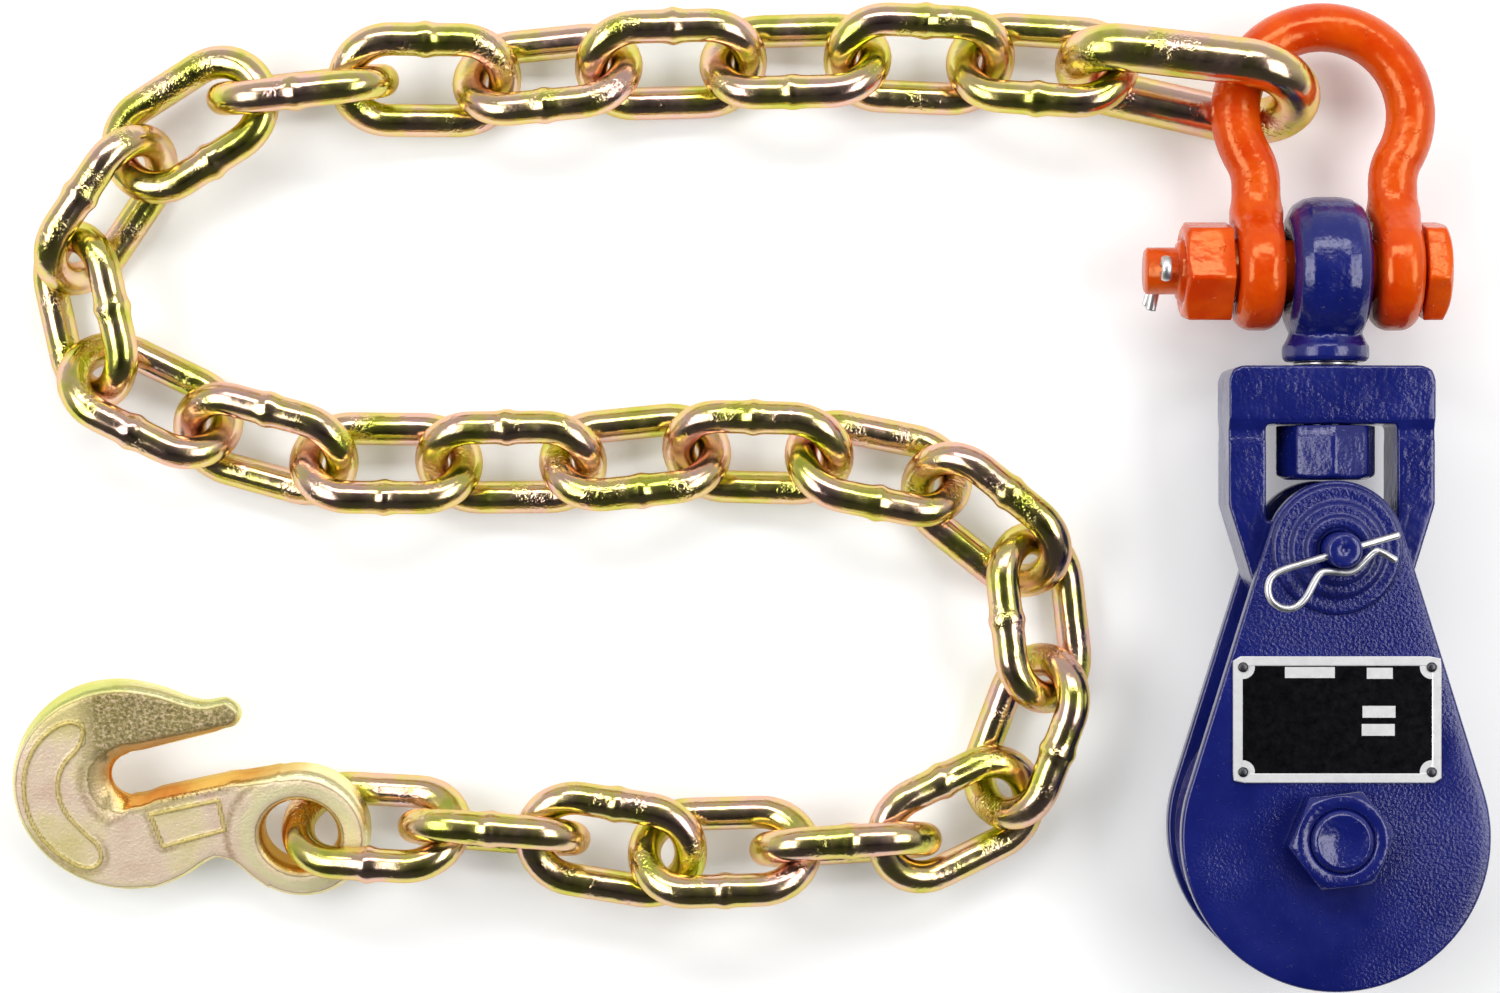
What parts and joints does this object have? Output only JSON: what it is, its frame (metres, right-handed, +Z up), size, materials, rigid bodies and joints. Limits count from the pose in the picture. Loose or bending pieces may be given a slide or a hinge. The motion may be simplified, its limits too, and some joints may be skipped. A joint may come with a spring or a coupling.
{
  "type": "snatch block with chain and grab hook",
  "caption": "Pulley block for wire rope with swivel eye, bow shackle, pear link, welded chain and eye grab hook, laid out in an S on a flat surface.",
  "frame": {"origin": "on the sheave's axis, on the bottom face of the centre pin's head, which is the surface that the block lies on", "axes": "+Z up out of the surface, along the sheave's axis; +Y from the sheave towards the shackle; +X away from the chain"},
  "size_m": [0.3819, 0.2555, 0.052],
  "materials": {
    "block_paint": "dark blue gloss paint over a rough casting skin",
    "shackle_paint": "orange gloss paint",
    "yellow_zinc": "yellow iridescent zinc plating",
    "hook_zinc": "satin yellow zinc plating on a forged skin",
    "bright_steel": "bright zinc plating",
    "bare_steel": "bare turned steel",
    "label_metal": "satin plate with a bare black field",
    "bronze": "turned bronze"
  },
  "bodies": {
    "block": {"front_side_plate": "block_paint", "back_side_plate": "block_paint", "centre_pin": "block_paint", "centre_pin_nut": "block_paint", "thrust_washers": "bronze", "name_plate": "label_metal", "name_plate_rivets": "bright_steel"},
    "sheave": {"sheave": "block_paint", "sheave_bushing": "bronze"},
    "head_pin": {"head_pin": "block_paint", "hairpin": "bright_steel"},
    "yoke": {"yoke": "block_paint"},
    "swivel": {"swivel_eye": "block_paint", "swivel_nut": "block_paint", "swivel_washer": "bare_steel"},
    "shackle": {"shackle_bow": "shackle_paint"},
    "shackle_bolt": {"shackle_bolt": "shackle_paint", "shackle_nut": "shackle_paint", "shackle_cotter": "bright_steel"},
    "pear_link": {"pear_link": "yellow_zinc"},
    "chain_link_01": {"chain_link_01": "yellow_zinc"},
    "chain_link_02": {"chain_link_02": "yellow_zinc"},
    "chain_link_03": {"chain_link_03": "yellow_zinc"},
    "chain_link_04": {"chain_link_04": "yellow_zinc"},
    "chain_link_05": {"chain_link_05": "yellow_zinc"},
    "chain_link_06": {"chain_link_06": "yellow_zinc"},
    "chain_link_07": {"chain_link_07": "yellow_zinc"},
    "chain_link_08": {"chain_link_08": "yellow_zinc"},
    "chain_link_09": {"chain_link_09": "yellow_zinc"},
    "chain_link_10": {"chain_link_10": "yellow_zinc"},
    "chain_link_11": {"chain_link_11": "yellow_zinc"},
    "chain_link_12": {"chain_link_12": "yellow_zinc"},
    "chain_link_13": {"chain_link_13": "yellow_zinc"},
    "chain_link_14": {"chain_link_14": "yellow_zinc"},
    "chain_link_15": {"chain_link_15": "yellow_zinc"},
    "chain_link_16": {"chain_link_16": "yellow_zinc"},
    "chain_link_17": {"chain_link_17": "yellow_zinc"},
    "chain_link_18": {"chain_link_18": "yellow_zinc"},
    "chain_link_19": {"chain_link_19": "yellow_zinc"},
    "chain_link_20": {"chain_link_20": "yellow_zinc"},
    "chain_link_21": {"chain_link_21": "yellow_zinc"},
    "chain_link_22": {"chain_link_22": "yellow_zinc"},
    "chain_link_23": {"chain_link_23": "yellow_zinc"},
    "chain_link_24": {"chain_link_24": "yellow_zinc"},
    "chain_link_25": {"chain_link_25": "yellow_zinc"},
    "chain_link_26": {"chain_link_26": "yellow_zinc"},
    "grab_hook": {"grab_hook": "hook_zinc"}
  },
  "joints": [
    {"name": "sheave_spin", "type": "hinge", "parent": "block", "child": "sheave", "pos_m": [0, 0, 0.024], "axis": [0, 0, 1], "continuous": true},
    {"name": "yoke_swing", "type": "hinge", "parent": "block", "child": "yoke", "pos_m": [0, 0.0735, 0.024], "axis": [0, 0, 1], "range_deg": [-35, 15]},
    {"name": "swivel_turn", "type": "hinge", "parent": "yoke", "child": "swivel", "pos_m": [0, 0.1207, 0.024], "axis": [0, 1, 0], "continuous": true},
    {"name": "shackle_swing", "type": "hinge", "parent": "swivel", "child": "shackle", "pos_m": [0, 0.1456, 0.024], "axis": [-1, 0, 0], "range_deg": [-90, 90]},
    {"name": "shackle_bolt_spin", "type": "hinge", "parent": "shackle", "child": "shackle_bolt", "pos_m": [0, 0.1456, 0.024], "axis": [1, 0, 0], "continuous": true},
    {"name": "head_pin_spin", "type": "hinge", "parent": "block", "child": "head_pin", "pos_m": [0, 0.0735, 0.024], "axis": [0, 0, 1], "continuous": true},
    {"name": "pear_swing", "type": "hinge", "parent": "shackle", "child": "pear_link", "pos_m": [-0.02285, 0.187, 0.0204], "axis": [0, 1, 0], "range_deg": [-20, 12]},
    {"name": "link_01_hinge", "type": "hinge", "parent": "pear_link", "child": "chain_link_01", "pos_m": [-0.0635, 0.2003, 0.017], "axis": [-0.0079, -0.4116, -0.9113], "range_deg": [-8, 18]},
    {"name": "link_02_hinge", "type": "hinge", "parent": "chain_link_01", "child": "chain_link_02", "pos_m": [-0.09343, 0.20224, 0.01076], "axis": [-0.169, -0.8174, 0.5507], "range_deg": [-24, 12]},
    {"name": "link_03_hinge", "type": "hinge", "parent": "chain_link_02", "child": "chain_link_03", "pos_m": [-0.12584, 0.20261, 0.01559], "axis": [0.0939, 0.7632, 0.6393], "range_deg": [-24, 12]},
    {"name": "link_04_hinge", "type": "hinge", "parent": "chain_link_03", "child": "chain_link_04", "pos_m": [-0.15852, 0.2014, 0.01104], "axis": [0.0538, 0.7671, -0.6393], "range_deg": [-12, 24]},
    {"name": "link_05_hinge", "type": "hinge", "parent": "chain_link_04", "child": "chain_link_05", "pos_m": [-0.19116, 0.19978, 0.01549], "axis": [-0.0404, -0.7679, -0.6393], "range_deg": [-24, 24]},
    {"name": "link_06_hinge", "type": "hinge", "parent": "chain_link_05", "child": "chain_link_06", "pos_m": [-0.22368, 0.19629, 0.01095], "axis": [-0.0002, -0.769, 0.6393], "range_deg": [-24, 24]},
    {"name": "link_07_hinge", "type": "hinge", "parent": "chain_link_06", "child": "chain_link_07", "pos_m": [-0.25565, 0.19619, 0.01772], "axis": [0.0971, 0.829, 0.5507], "range_deg": [-8, 12]},
    {"name": "link_08_hinge", "type": "hinge", "parent": "chain_link_07", "child": "chain_link_08", "pos_m": [-0.28761, 0.19149, 0.01588], "axis": [0.016, 0.1763, -0.9842], "range_deg": [-8, 18]},
    {"name": "link_09_hinge", "type": "hinge", "parent": "chain_link_08", "child": "chain_link_09", "pos_m": [-0.31433, 0.17351, 0.01376], "axis": [0.506, -0.8372, 0.2074], "range_deg": [-24, 24]},
    {"name": "link_10_hinge", "type": "hinge", "parent": "chain_link_09", "child": "chain_link_10", "pos_m": [-0.33022, 0.14478, 0.01493], "axis": [0.3892, -0.2625, -0.8829], "range_deg": [-24, 12]},
    {"name": "link_11_hinge", "type": "hinge", "parent": "chain_link_10", "child": "chain_link_11", "pos_m": [-0.3201, 0.11416, 0.01216], "axis": [-0.7318, -0.1317, -0.6687], "range_deg": [-24, 24]},
    {"name": "link_12_hinge", "type": "hinge", "parent": "chain_link_11", "child": "chain_link_12", "pos_m": [-0.28832, 0.10315, 0.01197], "axis": [-0.2955, -0.7082, 0.6412], "range_deg": [-24, 24]},
    {"name": "link_13_hinge", "type": "hinge", "parent": "chain_link_12", "child": "chain_link_13", "pos_m": [-0.25673, 0.09534, 0.01436], "axis": [0.155, 0.7515, 0.6412], "range_deg": [-24, 24]},
    {"name": "link_14_hinge", "type": "hinge", "parent": "chain_link_13", "child": "chain_link_14", "pos_m": [-0.22416, 0.09565, 0.01212], "axis": [-0.0315, 0.7667, -0.6412], "range_deg": [-24, 24]},
    {"name": "link_15_hinge", "type": "hinge", "parent": "chain_link_14", "child": "chain_link_15", "pos_m": [-0.19136, 0.09612, 0.01496], "axis": [0.0582, -0.7651, -0.6412], "range_deg": [-24, 24]},
    {"name": "link_16_hinge", "type": "hinge", "parent": "chain_link_15", "child": "chain_link_16", "pos_m": [-0.15887, 0.0996, 0.01096], "axis": [0.1469, -0.7548, 0.6393], "range_deg": [-24, 24]},
    {"name": "link_17_hinge", "type": "hinge", "parent": "chain_link_16", "child": "chain_link_17", "pos_m": [-0.12664, 0.09798, 0.017], "axis": [-0.0761, 0.7675, 0.6365], "range_deg": [-24, 24]},
    {"name": "link_18_hinge", "type": "hinge", "parent": "chain_link_17", "child": "chain_link_18", "pos_m": [-0.0952, 0.09046, 0.01064], "axis": [0.0584, 0.769, -0.6365], "range_deg": [-24, 24]},
    {"name": "link_19_hinge", "type": "hinge", "parent": "chain_link_18", "child": "chain_link_19", "pos_m": [-0.07109, 0.06762, 0.01392], "axis": [-0.4646, -0.6094, -0.6424], "range_deg": [-24, 24]},
    {"name": "link_20_hinge", "type": "hinge", "parent": "chain_link_19", "child": "chain_link_20", "pos_m": [-0.0712, 0.03429, 0.01429], "axis": [-0.7665, -0.0355, 0.6412], "range_deg": [-24, 24]},
    {"name": "link_21_hinge", "type": "hinge", "parent": "chain_link_20", "child": "chain_link_21", "pos_m": [-0.08423, 0.00416, 0.01251], "axis": [0.6356, -0.2847, 0.7176], "range_deg": [-8, 24]},
    {"name": "link_22_hinge", "type": "hinge", "parent": "chain_link_21", "child": "chain_link_22", "pos_m": [-0.11398, -0.00668, 0.0169], "axis": [0.3433, -0.8768, -0.3368], "range_deg": [-6, 8]},
    {"name": "link_23_hinge", "type": "hinge", "parent": "chain_link_22", "child": "chain_link_23", "pos_m": [-0.14541, -0.00526, 0.01842], "axis": [0.0595, 0.177, 0.9824], "range_deg": [-6, 8]},
    {"name": "link_24_hinge", "type": "hinge", "parent": "chain_link_23", "child": "chain_link_24", "pos_m": [-0.1772, -0.00656, 0.01794], "axis": [-0.0275, 0.7875, -0.6157], "range_deg": [-12, 3]},
    {"name": "link_25_hinge", "type": "hinge", "parent": "chain_link_24", "child": "chain_link_25", "pos_m": [-0.20666, -0.00093, 0.01693], "axis": [-0.147, -0.9281, -0.342], "range_deg": [-8, 6]},
    {"name": "link_26_hinge", "type": "hinge", "parent": "chain_link_25", "child": "chain_link_26", "pos_m": [-0.23755, 0.00039, 0.01586], "axis": [0.0222, -0.1756, -0.9842], "range_deg": [-6, 4]},
    {"name": "hook_hinge", "type": "hinge", "parent": "chain_link_26", "child": "grab_hook", "pos_m": [-0.26858, 0.00094, 0.01069], "axis": [0.1161, 0.7625, -0.6365], "range_deg": [-4, 6]}
  ]
}
